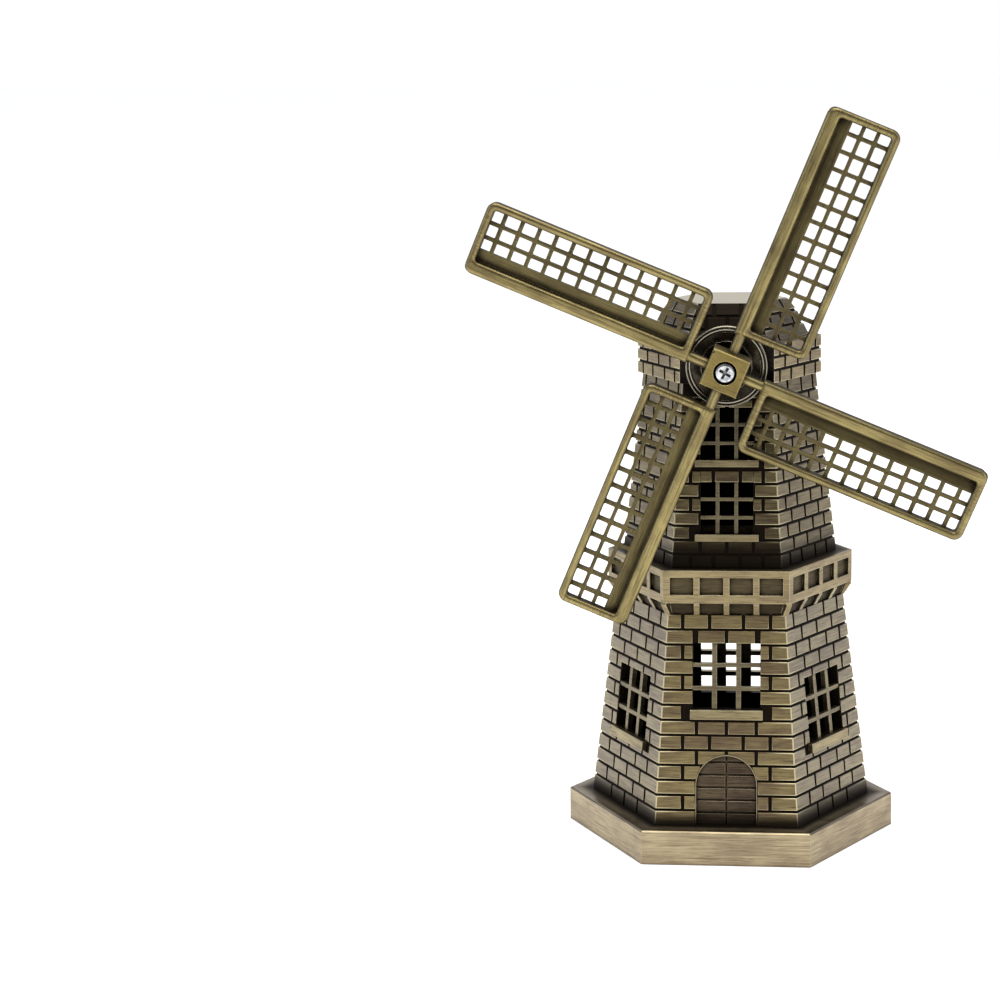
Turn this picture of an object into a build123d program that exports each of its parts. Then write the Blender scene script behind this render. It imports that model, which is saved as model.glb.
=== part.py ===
from build123d import *
import math
import os

# Souvenir Dutch windmill in antique-brass castings: a hexagonal base, a tapered brick lower storey,
# a corbelled balcony, a tapered brick upper storey, a domed cap and a four-sail rotor.
# Millimetres. Origin: centre of the underside of the base. +Z up, front (door and rotor) faces -Y,
# +X is to the right of somebody looking at the door.

os.makedirs("parts", exist_ok=True)

COS30 = math.cos(math.radians(30))
FACES = ["front", "front_right", "rear_right", "rear", "rear_left", "front_left"]

# ---- base -----------------------------------------------------------------------------------
BASE_R = 40.0  # across-corners radius
BASE_TOP = 8.3
BASE_EDGE = 0.35
PAD_R = 36.0
PAD_T = 1.2
BASE_POCKET_R = 32.0
BASE_POCKET_TOP = 6.2

# ---- storeys: radius to the corner of the brick face at the bottom and top -------------------
WALL_T = 2.6  # whole wall, bricks included, measured square to the axis
RELIEF = 0.5  # how far the bricks stand out of the mortar joints
JOINT = 0.6  # width of a mortar joint
LOWER = dict(z0=8.3, z1=58.8, r0=34.2, r1=27.84, rows=14, pitch=3.607, first_even=False)
UPPER = dict(z0=69.8, z1=113.5, r0=26.0, r1=20.9, rows=13, pitch=3.32, first_even=True)
HALVES = [0.0, 7.1]  # joints of a row of four bricks, mirrored about the middle of the face
THIRDS = [4.0, 10.4]  # joints of a row of five bricks
UPPER_HALVES = [0.0, 6.3]
UPPER_THIRDS = [3.2, 8.55]
SPIGOT_GAP = 0.1

# ---- windows and door ------------------------------------------------------------------------
LOWER_WIN = dict(w=16.0, h=15.85)
FRONT_WIN_Z = 44.0  # middle of the window above the door
SIDE_WIN_Z = 34.35  # the three others sit lower; the two rear side walls have none
WINDOW_FACES = ["front", "front_right", "rear", "front_left"]
UPPER_WIN = dict(w=12.4, h=12.3)
UPPER_WIN_Z = [83.9, 101.5]
LOWER_BARS = (1.15, 0.95)  # uprights and crossbars of a lower window
UPPER_BARS = (0.85, 0.8)
REAR_BARS = (3.2, 1.2)  # broad uprights and heavier crossbars of the rear window
GRILLE_T = 1.3
GRILLE_SET = 0.35  # how far it lies back from the brick face
SILL_OUT = 0.9
SILL_IN = 1.2
SILL_FOOT = 0.1  # how far the pocket beside a sill reaches below it, into the joint under the bricks
DOOR_W = 14.3
DOOR_SPRING = 9.6  # height of the straight sides above the base
DOOR_SET = 0.9
DOOR_T = 1.2

# ---- balcony ---------------------------------------------------------------------------------
BALC_R = 29.8
BALC_Z0 = 61.9
BALC_Z1 = 69.8
BALC_PANEL = (5.6, 4.2, 0.8)  # recessed panels: width, height, depth
BALC_PITCH = 7.05
BALC_PANEL_Z = 66.0
RIB = 1.3
BALC_BORE_R = 21.0

# ---- cap -------------------------------------------------------------------------------------
BAND_R = 22.15
BAND_Z1 = 122.7
CAP_ROWS = 3
DOME = [(19.2, 122.7), (17.7, 125.7), (16.2, 128.7), (13.9, 131.6)]  # corner radius, height
CAP_BORE_R = 17.6
CAP_HALVES = [0.0, 5.9]
CAP_THIRDS = [3.1, 8.3]
PLATE_T = 1.5
TAB_Z = 110.3

# ---- windshaft: everything below turns about, or is set on, this axis -------------------------
AXIS_Z = 118.0
DRUM_R = 9.55
DRUM_FRONT = 22.5  # distance of its front face ahead of the middle of the mill
DRUM_BORE_R = 2.8
DRUM_TAIL_R = 5.6
DRUM_BACK = 12.9
COLLAR_R = 3.7
COLLAR_T = 3.0
JOURNAL_R = 2.2
RUN = 0.05  # radial clearance of the hub on its journal
END_PLAY = 0.15
SCREW_HOLE_R = 1.3
HUB = 9.0
HUB_BACK = DRUM_FRONT + COLLAR_T + END_PLAY
HUB_FRONT = 34.0
COUNTERBORE = (2.75, 2.3)  # radius, depth
HEAD = (2.5, 1.9)  # pan head radius, height
SHANK_R = 1.25

# ---- sails -----------------------------------------------------------------------------------
SAIL_TURN = 22.8  # degrees clockwise from upright, seen from the front
SPAR_Y = 30.0  # plane of the spars ahead of the middle of the mill
SAIL_IN, SAIL_OUT = 9.1, 65.1  # radii of the two ends of a sail
SPAR_LEFT, SPAR_RIGHT = -1.6, 1.5
TRAIL_IN, TRAIL_OUT = 14.1, 16.0
END_BAR = 1.9
RIM_FRONT, RIM_BACK = 1.5, -1.55
FLOOR_FRONT = -0.4
LATTICE_LEFT = 4.25
CELL = (2.65, 3.3)  # opening of a lattice cell, across and along the sail
CELL_PITCH = (3.55, 4.25)
CELLS = (3, 13)
CORNER = 2.2
SPAR_R0, SPAR_R1 = 1.2, 1.5  # the round spar swells from the hub to the tip
TENON_IN = 2.9


def ring(poly, z):
    return Plane.XY.offset(z) * make_face(Polyline(*poly, close=True))


def prism(bottom, top, z0, z1):
    """A solid between two polygons with the same number of corners."""
    return loft([ring(bottom, z0), ring(top, z1)], ruled=True)


def hexagon(r):
    return [(r * math.cos(math.radians(60 * k)), r * math.sin(math.radians(60 * k))) for k in range(6)]


def hex_prism(r, z0, z1):
    return prism(hexagon(r), hexagon(r), z0, z1)


def frustum(r0, r1, z0, z1):
    return prism(hexagon(r0), hexagon(r1), z0, z1)


def cuboid(x0, x1, y0, y1, z0, z1):
    return Pos((x0 + x1) / 2, (y0 + y1) / 2, (z0 + z1) / 2) * Box(x1 - x0, y1 - y0, z1 - z0)


def about_y(r, y0, y1):
    """A cylinder on the windshaft axis; y0 and y1 are distances ahead of the middle of the mill."""
    c = Cylinder(r, y1 - y0, align=(Align.CENTER, Align.CENTER, Align.MIN))
    return Pos(0, -y0, AXIS_Z) * Rot(90, 0, 0) * c


def trapezium(ro, ri):
    """Plan of the front piece of a hexagonal shell, mitred at both corners."""
    return [
        (-ro / 2, -ro * COS30),
        (ro / 2, -ro * COS30),
        (ri / 2, -ri * COS30),
        (-ri / 2, -ri * COS30),
    ]


def brick(left, right, ro, ri):
    """Plan of one brick; None at a side means that it runs into the mitre at the corner."""
    return [
        (-ro / 2 if left is None else left, -ro * COS30),
        (ro / 2 if right is None else right, -ro * COS30),
        (ri / 2 if right is None else right, -ri * COS30),
        (-ri / 2 if left is None else left, -ri * COS30),
    ]


def course(joints, r0, r1, z0, z1):
    """One row of bricks on the front face between two heights."""
    cuts = sorted({-j for j in joints} | set(joints))
    lefts = [None] + [c + JOINT / 2 for c in cuts]
    rights = [c - JOINT / 2 for c in cuts] + [None]
    drop = RELIEF / COS30
    out = []
    for left, right in zip(lefts, rights):
        low = brick(left, right, r0, r0 - drop - 0.05)
        high = brick(left, right, r1, r1 - drop - 0.05)
        out.append(prism(low, high, z0, z1))
    return out


def storey_r(s, z):
    return s["r0"] + (s["r1"] - s["r0"]) * (z - s["z0"]) / (s["z1"] - s["z0"])


def storey_face_y(s, z):
    return storey_r(s, z) * COS30


def brick_wall(s, halves, thirds):
    """One of the six walls of a storey, facing the front, without openings."""
    drop = RELIEF / COS30
    thick = WALL_T / COS30
    body = prism(
        trapezium(s["r0"] - drop, s["r0"] - thick),
        trapezium(s["r1"] - drop, s["r1"] - thick),
        s["z0"],
        s["z1"],
    )
    bricks = []
    for row in range(s["rows"]):
        lo = s["z0"] + row * s["pitch"] + (JOINT / 2 if row else 0)
        hi = s["z0"] + (row + 1) * s["pitch"] - JOINT / 2
        if row == s["rows"] - 1:
            hi = s["z1"]
        five = (row % 2 == 0) == s["first_even"]
        bricks += course(thirds if five else halves, storey_r(s, lo), storey_r(s, hi), lo, hi)
    return body.fuse(*bricks)


def lean(s):
    """Angle by which a wall of the storey leans back."""
    return math.degrees(math.atan((s["r0"] - s["r1"]) * COS30 / (s["z1"] - s["z0"])))


def wall_frame(s, z):
    """Plane on the brick face of the front wall at height z: local x right, y up the wall, z out."""
    return Pos(0, -storey_face_y(s, z), z) * Rot(90 - lean(s), 0, 0)


def grille(w, h, upright, crossbar):
    """Window grille with three panes by three, its front face on local z = 0."""
    g = Rectangle(w, h)
    pane_w = (w - 2 * upright) / 3
    pane_h = (h - 2 * crossbar) / 3
    with_panes = GridLocations(pane_w + upright, pane_h + crossbar, 3, 3)
    g -= Sketch() + [loc * Rectangle(pane_w, pane_h) for loc in with_panes]
    return extrude(g, -GRILLE_T)


def sill(w, h):
    return Pos(0, 0, (SILL_OUT - SILL_IN) / 2) * Box(w, h, SILL_OUT + SILL_IN)


def turned(shape, face):
    return shape.rotate(Axis.Z, 60 * FACES.index(face))


def open_window(wall, s, z, size, sill_w, sill_h, pocket, bars):
    """Cuts the window, the slot of its sill and the flat pockets beside the sill."""
    at = wall_frame(s, z)
    hole = at * Box(size["w"], size["h"], 12)
    sill_y = -size["h"] / 2 - sill_h / 2
    slot = at * Pos(0, sill_y, 0) * sill(sill_w, sill_h)
    beside_y = sill_y - SILL_FOOT / 2
    beside = at * Pos(0, beside_y, 0) * Box(sill_w + 2 * pocket, sill_h + SILL_FOOT, 2 * RELIEF)
    made = wall.cut(hole, slot, beside)
    window = at * Pos(0, 0, -GRILLE_SET) * grille(size["w"], size["h"], *bars)
    ledge = at * Pos(0, sill_y, 0) * sill(sill_w, sill_h)
    return made, window, ledge


def save(shape, name):
    shape.label = name
    export_step(shape, f"parts/{name}.step")


# ==== base ====================================================================================
base = hex_prism(BASE_R, 0, BASE_TOP)
base = chamfer(base.edges().group_by(Axis.Z)[-1], BASE_EDGE)
base = base + hex_prism(storey_r(LOWER, 10.0) - WALL_T / COS30 - 0.35, BASE_TOP - 0.5, BASE_TOP + 1.8)
base = base - hex_prism(PAD_R, -1, PAD_T)
base = base - hex_prism(BASE_POCKET_R, -1, BASE_POCKET_TOP)
save(base, "base_plate")
save(hex_prism(PAD_R, 0, PAD_T), "base_pad")

# ==== lower storey: six mitred wall castings ====================================================
lower_blank = brick_wall(LOWER, HALVES, THIRDS)
SILL_LOWER = (17.2, 2.25)
for face in FACES:
    if face not in WINDOW_FACES:
        save(turned(lower_blank, face), f"lower_wall_{face}")
        continue
    height = FRONT_WIN_Z if face == "front" else SIDE_WIN_Z
    bars = REAR_BARS if face == "rear" else LOWER_BARS
    opened = open_window(lower_blank, LOWER, height, LOWER_WIN, *SILL_LOWER, 2.0, bars)
    wall, window, ledge = opened
    if face == "front":
        at = wall_frame(LOWER, LOWER["z0"])
        arch = Pos(0, DOOR_SPRING / 2) * Rectangle(DOOR_W, DOOR_SPRING)
        arch += Pos(0, DOOR_SPRING) * Circle(DOOR_W / 2)
        below = Pos(0, -2) * Rectangle(DOOR_W, 4)
        niche = at * Pos(0, 0, 1) * extrude(arch + below, -(1 + DOOR_SET + DOOR_T))
        floor = cuboid(-30, 30, -60, 0, LOWER["z0"] - 10, LOWER["z0"])
        wall = wall.cut(niche)
        leaf = at * Pos(0, 0, -DOOR_SET) * extrude(arch + below, -DOOR_T)
        leaf = leaf - floor
        plank = (DOOR_W - 0.7) / 2
        grooves = []
        for k in range(1, 6):
            grooves.append(at * Pos(0, 3.05 * k, -DOOR_SET) * Box(DOOR_W + 2, 0.55, 0.8))
        grooves.append(at * Pos(0, 8, -DOOR_SET) * Box(0.55, 30, 0.8))
        leaf = leaf.cut(*grooves)
        save(leaf, "door_leaf")
    save(turned(wall, face), f"lower_wall_{face}")
    save(turned(window, face), f"lower_grille_{face}")
    save(turned(ledge, face), f"lower_sill_{face}")

# ==== balcony ===================================================================================
balcony = hex_prism(BALC_R, BALC_Z0, BALC_Z1)
corbel_r = LOWER["r1"] - RELIEF / COS30
balcony += frustum(corbel_r, BALC_R - 1.3, LOWER["z1"], BALC_Z0)
cuts = []
ribs = []
for k in range(6):
    for i in range(4):
        x = (i - 1.5) * BALC_PITCH
        recess = cuboid(
            x - BALC_PANEL[0] / 2,
            x + BALC_PANEL[0] / 2,
            -BALC_R * COS30 - 1,
            -BALC_R * COS30 + BALC_PANEL[2],
            BALC_PANEL_Z - BALC_PANEL[1] / 2,
            BALC_PANEL_Z + BALC_PANEL[1] / 2,
        )
        cuts.append(recess.rotate(Axis.Z, 60 * k))
    profile = [
        (-LOWER["r1"] * COS30 + 2, LOWER["z1"]),
        (-LOWER["r1"] * COS30 - 0.1, LOWER["z1"]),
        (-BALC_R * COS30 + 0.1, BALC_Z0 - 0.5),
        (-BALC_R * COS30 + 0.1, BALC_Z0 + 0.5),
        (-LOWER["r1"] * COS30 + 2, BALC_Z0 + 0.5),
    ]
    web = Plane.YZ * make_face(Polyline(*profile, close=True))
    rib = extrude(web, RIB / 2, both=True)
    for i in range(3):
        ribs.append((Pos((i - 1) * BALC_PITCH, 0, 0) * rib).rotate(Axis.Z, 60 * k))
    corner = [(y / COS30, z) for y, z in profile]
    corner_web = extrude(Plane.YZ * make_face(Polyline(*corner, close=True)), RIB / 2, both=True)
    ribs.append(corner_web.rotate(Axis.Z, 60 * k + 30))
balcony = balcony.fuse(*ribs).cut(*cuts)
lower_in = LOWER["r1"] - WALL_T / COS30 - SPIGOT_GAP
upper_in = storey_r(UPPER, UPPER["z0"] + 2) - WALL_T / COS30 - SPIGOT_GAP
balcony += hex_prism(lower_in, LOWER["z1"] - 2, LOWER["z1"] + 1)
balcony += hex_prism(upper_in, BALC_Z1 - 1, BALC_Z1 + 2)
balcony -= hex_prism(BALC_BORE_R, 50, 80)
save(balcony, "balcony")

# ==== upper storey ==============================================================================
upper_blank = brick_wall(UPPER, UPPER_HALVES, UPPER_THIRDS)
SILL_UPPER = (15.0, 1.6)
tab_box = cuboid(-30, 30, -40, -(BAND_R * COS30 - PLATE_T), TAB_Z, 120)
for face in FACES:
    wall = upper_blank
    if face == "front":
        for name, z in zip(("lower", "upper"), UPPER_WIN_Z):
            wall, window, ledge = open_window(wall, UPPER, z, UPPER_WIN, *SILL_UPPER, 1.3, UPPER_BARS)
            save(window, f"upper_grille_{name}")
            save(ledge, f"upper_sill_{name}")
        wall = wall - tab_box - about_y(DRUM_TAIL_R, 5, 30)
    save(turned(wall, face), f"upper_wall_{face}")

# ==== cap =======================================================================================
drop = RELIEF / COS30
cap = hex_prism(BAND_R - drop, UPPER["z1"], BAND_Z1 - 0.2)
cap += hex_prism(BAND_R - 0.3, BAND_Z1 - 0.4, BAND_Z1)
for (ra, za), (rb, zb) in zip(DOME, DOME[1:]):
    cap += frustum(ra - drop, rb - drop, za, zb)
bricks = []
band_pitch = (BAND_Z1 - UPPER["z1"]) / CAP_ROWS
for k in range(6):
    for row in range(CAP_ROWS):
        lo = UPPER["z1"] + row * band_pitch + (JOINT / 2 if row else 0)
        hi = UPPER["z1"] + (row + 1) * band_pitch - (JOINT / 2 if row < 2 else 0)
        if k:
            made = course(CAP_THIRDS if row % 2 == 0 else CAP_HALVES, BAND_R, BAND_R, lo, hi)
            bricks += [b.rotate(Axis.Z, 60 * k) for b in made]
        (ra, za), (rb, zb) = DOME[row], DOME[row + 1]
        t0, t1 = (JOINT / 2 if row else 0) / (zb - za), 1 - (JOINT / 2 if row < 2 else 0) / (zb - za)
        lo, hi = za + (zb - za) * t0, za + (zb - za) * t1
        rlo, rhi = ra + (rb - ra) * t0, ra + (rb - ra) * t1
        shrink = (1.0, 0.88, 0.78)[row]
        joints = [j * shrink for j in ((4.0,), (0.0, 5.6), (4.0,))[row]]
        made = course(joints, rlo, rhi, lo, hi)
        bricks += [b.rotate(Axis.Z, 60 * k) for b in made]
cap = cap.fuse(*bricks)
cap = cap - cuboid(-30, 30, -40, -(BAND_R * COS30 - PLATE_T), UPPER["z1"] - 1, BAND_Z1)
cavity = hex_prism(storey_r(UPPER, 111.5) - WALL_T / COS30 - SPIGOT_GAP - 2.0, 100, 120.6)
cavity += frustum(15.6, 10.6, 120.6, 129.3)
lip = hex_prism(UPPER["r1"] - WALL_T / COS30 - SPIGOT_GAP, UPPER["z1"] - 2, UPPER["z1"] + 1)
cap = (cap + lip) - cavity
cap = cap - about_y(DRUM_TAIL_R, 5, 30)
save(cap, "cap")

# ==== front plate of the cap =====================================================================
plate_y = BAND_R * COS30
plate = cuboid(-BAND_R / 2, BAND_R / 2, -plate_y, -(plate_y - PLATE_T), UPPER["z1"], BAND_Z1)
tab_half = storey_r(UPPER, UPPER["z1"]) / 2 - 0.1
plate += cuboid(-tab_half, tab_half, -plate_y + 0.25, -(plate_y - PLATE_T), TAB_Z, UPPER["z1"])
back_step = (BAND_R - 2 * PLATE_T * math.tan(math.radians(30))) / 2
for side in (-1, 1):
    corner = [
        (side * BAND_R / 2, -plate_y),
        (side * (BAND_R / 2 + 2), -plate_y),
        (side * (BAND_R / 2 + 2), -plate_y + PLATE_T),
        (side * back_step, -plate_y + PLATE_T),
    ]
    plate -= prism(corner, corner, 100, 130)
plate = plate - about_y(DRUM_TAIL_R, 5, 30)
save(plate, "cap_front_plate")

# ==== windshaft boss: turned drum with rings ======================================================
profile = [
    (DRUM_BORE_R, DRUM_BACK),
    (DRUM_TAIL_R, DRUM_BACK),
    (DRUM_TAIL_R, plate_y),
    (DRUM_R, plate_y),
    (DRUM_R, DRUM_FRONT - 0.15),
    (DRUM_R - 0.15, DRUM_FRONT),
    (9.1, DRUM_FRONT),
    (9.1, DRUM_FRONT - 0.5),
    (8.8, DRUM_FRONT - 0.5),
    (8.8, DRUM_FRONT - 0.1),
    (8.4, DRUM_FRONT - 0.1),
    (8.4, DRUM_FRONT - 0.7),
    (8.05, DRUM_FRONT - 0.7),
    (8.05, DRUM_FRONT - 0.3),
    (6.4, DRUM_FRONT - 0.5),
    (6.4, DRUM_FRONT - 0.8),
    (6.1, DRUM_FRONT - 0.8),
    (5.95, DRUM_FRONT - 0.05),
    (4.15, DRUM_FRONT - 0.2),
    (4.15, DRUM_FRONT - 0.6),
    (3.9, DRUM_FRONT - 0.6),
    (3.9, DRUM_FRONT),
    (DRUM_BORE_R, DRUM_FRONT),
]
half = Plane.XY * make_face(Polyline(*profile, close=True))
drum = revolve(half, Axis.Y)
drum = Pos(0, 0, AXIS_Z) * Rot(180, 0, 0) * drum
save(drum, "windshaft_boss")

# ==== pivot: shouldered sleeve, screw and nut =====================================================
sleeve_front = HUB_FRONT - COUNTERBORE[1] + END_PLAY
sleeve = about_y(DRUM_BORE_R, DRUM_BACK, DRUM_FRONT) + about_y(COLLAR_R, DRUM_FRONT, DRUM_FRONT + COLLAR_T)
sleeve += about_y(JOURNAL_R, DRUM_FRONT + COLLAR_T, sleeve_front)
sleeve = sleeve - about_y(SCREW_HOLE_R, 0, 40)
save(sleeve, "pivot_sleeve")

NUT_T = 2.0
NUT_AF = 5.0
screw = about_y(SHANK_R, DRUM_BACK - NUT_T - 0.6, sleeve_front)
head = about_y(HEAD[0], sleeve_front, sleeve_front + HEAD[1])
head = fillet(head.edges().group_by(Axis.Y)[0], 0.8)
cross = Pos(0, -(sleeve_front + HEAD[1] - 0.55), AXIS_Z) * (Box(2.9, 1.2, 0.65) + Box(0.65, 1.2, 2.9))
screw = screw + (head - cross.rotate(Axis((0, 0, AXIS_Z), (0, 1, 0)), 30))
save(screw, "hub_screw")
nut = extrude(RegularPolygon(NUT_AF / 2, 6, major_radius=False), NUT_T)
nut = Pos(0, -(DRUM_BACK - NUT_T), AXIS_Z) * Rot(90, 0, 0) * nut
nut = nut - about_y(SHANK_R, 0, 40)
save(nut, "pivot_nut")


# ==== rotor =======================================================================================
def on_rotor(shape, quarter):
    """Puts a piece made upright (out = +Z, clockwise = +X, origin on the axis) into its place."""
    spun = Rot(0, SAIL_TURN + 90 * quarter, 0) * shape
    return Pos(0, 0, AXIS_Z) * spun


hub = cuboid(-HUB / 2, HUB / 2, -HUB_FRONT, -HUB_BACK, -HUB / 2, HUB / 2)
hub = chamfer(hub.edges().group_by(Axis.Y)[0], 0.25)
hub_cuts = [
    Pos(0, 0, -AXIS_Z) * about_y(JOURNAL_R + RUN, 20, 40),
    Pos(0, 0, -AXIS_Z) * about_y(COUNTERBORE[0], HUB_FRONT - COUNTERBORE[1], 40),
]
socket = Pos(0, -SPAR_Y, TENON_IN) * Cylinder(SPAR_R0, 10, align=(Align.CENTER, Align.CENTER, Align.MIN))
for quarter in range(4):
    hub_cuts.append(Rot(0, 90 * quarter, 0) * socket)
hub_cuts.append(Pos(-HUB / 2 + 0.1, -HUB_FRONT, HUB / 2 - 0.9) * Rot(90, 0, 0) * Cylinder(0.45, 1.6))
hub = hub.cut(*hub_cuts)
save(on_rotor(hub, 0), "hub_block")


def sail():
    """One sail: a raised rim with the spar along one side, a sloping leading board and a lattice."""
    # sketches are drawn with x = clockwise, y = out along the spar, then stood up facing the front
    stand = Pos(0, -SPAR_Y, 0) * Rot(90, 0, 0)
    mid_x = (SPAR_LEFT + TRAIL_OUT) / 2
    mid_y = (SAIL_IN + SAIL_OUT) / 2
    outline = Pos(mid_x, mid_y) * RectangleRounded(TRAIL_OUT - SPAR_LEFT, SAIL_OUT - SAIL_IN, CORNER)
    # the spar runs straight into the sail, so the corner beside the hub stays square
    outline += Pos(SPAR_LEFT + CORNER, SAIL_IN + CORNER / 2) * Rectangle(2 * CORNER, CORNER)
    in_x = (SPAR_RIGHT + TRAIL_IN) / 2
    inner = Pos(in_x, mid_y) * RectangleRounded(
        TRAIL_IN - SPAR_RIGHT, SAIL_OUT - SAIL_IN - 2 * END_BAR, 0.7
    )
    rim = stand * Pos(0, 0, RIM_BACK) * extrude(outline - inner, RIM_FRONT - RIM_BACK)
    rim = fillet(rim.edges().group_by(Axis.Y)[0], 0.85)
    floor = Pos((LATTICE_LEFT + TRAIL_IN + 0.5) / 2, mid_y) * Rectangle(
        TRAIL_IN + 0.5 - LATTICE_LEFT, SAIL_OUT - SAIL_IN - END_BAR
    )
    lattice_mid = LATTICE_LEFT + (TRAIL_IN - LATTICE_LEFT) / 2
    grid = Pos(lattice_mid, mid_y) * GridLocations(*CELL_PITCH, *CELLS)
    floor -= Sketch() + [loc * RectangleRounded(*CELL, 0.35) for loc in grid]
    lattice = stand * Pos(0, 0, RIM_BACK) * extrude(floor, FLOOR_FRONT - RIM_BACK)
    board = [
        (SPAR_RIGHT - 0.4, RIM_BACK),
        (LATTICE_LEFT + 0.3, RIM_BACK),
        (LATTICE_LEFT + 0.3, FLOOR_FRONT),
        (LATTICE_LEFT, FLOOR_FRONT),
        (SPAR_RIGHT + 0.25, RIM_BACK + 0.7),
        (SPAR_RIGHT - 0.4, RIM_BACK + 0.7),
    ]
    section = make_face(Polyline(*[(x, -(SPAR_Y + w)) for x, w in board], close=True))
    strip = Pos(0, 0, SAIL_IN + END_BAR / 2) * extrude(section, SAIL_OUT - SAIL_IN - END_BAR)
    upright = (Align.CENTER, Align.CENTER, Align.MIN)
    spar_end = SAIL_OUT - SPAR_R1
    spar = Pos(0, -SPAR_Y, HUB / 2) * Cone(SPAR_R0, SPAR_R1, spar_end - HUB / 2, align=upright)
    tip = Pos(0, -SPAR_Y, spar_end) * Sphere(SPAR_R1)
    tenon = Pos(0, -SPAR_Y, TENON_IN) * Cylinder(SPAR_R0, HUB / 2 - TENON_IN, align=upright)
    return rim.fuse(lattice, strip, spar, tip, tenon)


one = sail()
for quarter in range(4):
    save(on_rotor(one, quarter), f"sail_{quarter + 1}")
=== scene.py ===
import math
import random

import bmesh
import bpy
from mathutils import Matrix, Vector


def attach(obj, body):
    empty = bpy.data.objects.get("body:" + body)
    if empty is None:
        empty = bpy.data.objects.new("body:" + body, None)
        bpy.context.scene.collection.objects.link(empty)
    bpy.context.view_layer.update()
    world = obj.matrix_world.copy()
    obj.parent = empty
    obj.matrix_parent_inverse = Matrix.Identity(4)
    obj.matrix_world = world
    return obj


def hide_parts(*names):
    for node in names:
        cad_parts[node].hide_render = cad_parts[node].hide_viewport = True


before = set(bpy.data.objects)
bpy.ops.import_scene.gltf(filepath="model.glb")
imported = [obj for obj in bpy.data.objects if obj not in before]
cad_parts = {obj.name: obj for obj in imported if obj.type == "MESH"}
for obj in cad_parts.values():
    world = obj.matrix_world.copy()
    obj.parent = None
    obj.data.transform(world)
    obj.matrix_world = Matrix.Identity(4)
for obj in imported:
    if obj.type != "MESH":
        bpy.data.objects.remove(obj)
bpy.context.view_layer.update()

MM = 0.001
C30 = math.cos(math.radians(30))
TAN30 = math.tan(math.radians(30))
FACES = ["front", "front_right", "rear_right", "rear", "rear_left", "front_left"]
rng = random.Random(11)

# ================================ dimensions, in millimetres =====================================
# z0, z1: foot and head of a storey. r0, r1: its corner radius there. fours, fives: where the upright
# joints lie, on both sides of the middle, in rows of four and of five bricks. five_first: the lowest
# row has five.
LOWER = dict(z0=8.3, z1=58.8, r0=34.2, r1=27.84, rows=14, pitch=3.607, five_first=False,
             fours=(0.0, 7.1), fives=(4.0, 10.4))
UPPER = dict(z0=69.8, z1=113.5, r0=26.0, r1=20.9, rows=13, pitch=3.32, five_first=True,
             fours=(0.0, 6.3), fives=(3.2, 8.55))
JOINT = 0.6  # between rows
PERPEND = 0.82  # between the bricks of a row, a little wider than in the CAD
RELIEF = 0.42  # from the brick face to the wall behind it, a little less than in the CAD
WALL = 2.6  # from the brick face to the inside of the wall
END_GAP = 0.02  # the bricks stop this far short of a storey's foot and head
AXIS_Z = 118.0  # height of the windshaft
SAIL_TURN = 22.8  # how far the sails stand off upright and level, in degrees

# windows and their sills
WINDOWED = ("front", "front_right", "rear", "front_left")
LOWER_WINDOW = dict(half_w=8.0, half_h=7.925, sill_half=8.6, pocket=2.0)
FRONT_WINDOW_Z = 44.0  # centre heights
SIDE_WINDOW_Z = 34.35
FRONT_SILL_FOOT = 33.83
SIDE_SILL_FOOT = 24.2
UPPER_WINDOW = dict(half_w=6.2, half_h=6.15, sill_half=7.5, pocket=1.3)
UPPER_WINDOW_Z = (83.9, 101.5)
UPPER_SILL_DROP = 7.75  # from a window's centre to the foot of its sill
POCKET_SHARE = 0.6  # a sill has its pockets where its foot is in this lowest share of a row
WINDOW_GAP = 0.06
# what is left of a brick beside, under or over a window is laid only where it is more than this
SLIVER = 0.3
LEAST_WIDTH = 0.6
LEAST_BELOW_SILL = 0.7
LEAST_ABOVE_WINDOW = 0.5

# doorway
DOOR_R = 7.15
DOOR_SPRING = LOWER["z0"] + 9.6  # where its arch starts
ARCH_BLOCKS = 32
ARCH_HEAD = 0.6  # of wall over the arch before the wall runs right across
RIM = 0.24
RIM_GAP = 0.05  # between the rim and the bricks
RIM_STEPS = 40
# the thin raised rim round the doorway: out from the doorway, depth, tone
RIM_SECTION = [
    (0.0, 1.6, -1.0),
    (0.0, 0.4, -0.2),
    (0.06, 0.06, 0.8),
    (0.16, 0.03, 0.8),
    (RIM, 0.14, 0.2),
    (RIM, 0.6, -0.6),
]
ARCH_STEPS = 40  # along the foot of a brick that the arch cuts
ARCH_LEAST_HEIGHT = 0.25
ARCH_LEAST_WIDTH = 0.5
TOUCH = 1e-6

# cap
BAND_R = 22.15
BAND = (113.5, 122.7)
BAND_JOINTS = ((3.1, 8.3), (0.0, 5.9))
LEDGE_T = 0.35  # the band's wall stops this far below the ledge's top, inside the ledge
DOME = [(19.2, 122.7), (17.7, 125.7), (16.2, 128.7), (13.9, 131.6)]  # corner radius, height
DOME_JOINTS = ((4.0,), (0.0, 4.93), (3.12,))
DECK_T = 0.3  # the top course's wall stops this far below the deck's top, inside the deck
PLATE_T = 1.5  # the smooth plate let into the front of the band
PLATE_HALF = 5.8  # half the width of the way through the band behind it
# sections of six-sided rings: corner radius, height, tone
LEDGE_SECTION = [
    (21.6, 122.3, -1.0),
    (17.0, 122.3, -1.0),
    (17.0, 122.7, -0.8),
    (19.1, 122.7, -0.7),
    (21.2, 122.7, 0.0),
    (21.6, 122.62, 1.0),
]
COLLAR_SECTION = [(17.7, 111.5, -0.5), (17.8, 114.2, -0.5), (16.0, 114.2, -1.0), (16.0, 111.5, -1.0)]
# the last section closes the deck's level top, and its high tone there is a painted highlight
DECK_SECTION = [
    (12.0, 131.0, -1.0),
    (13.4, 131.0, -1.0),
    (13.68, 131.45, 0.6),
    (13.62, 131.57, 0.95),
    (13.4, 131.6, 0.85),
]

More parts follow.
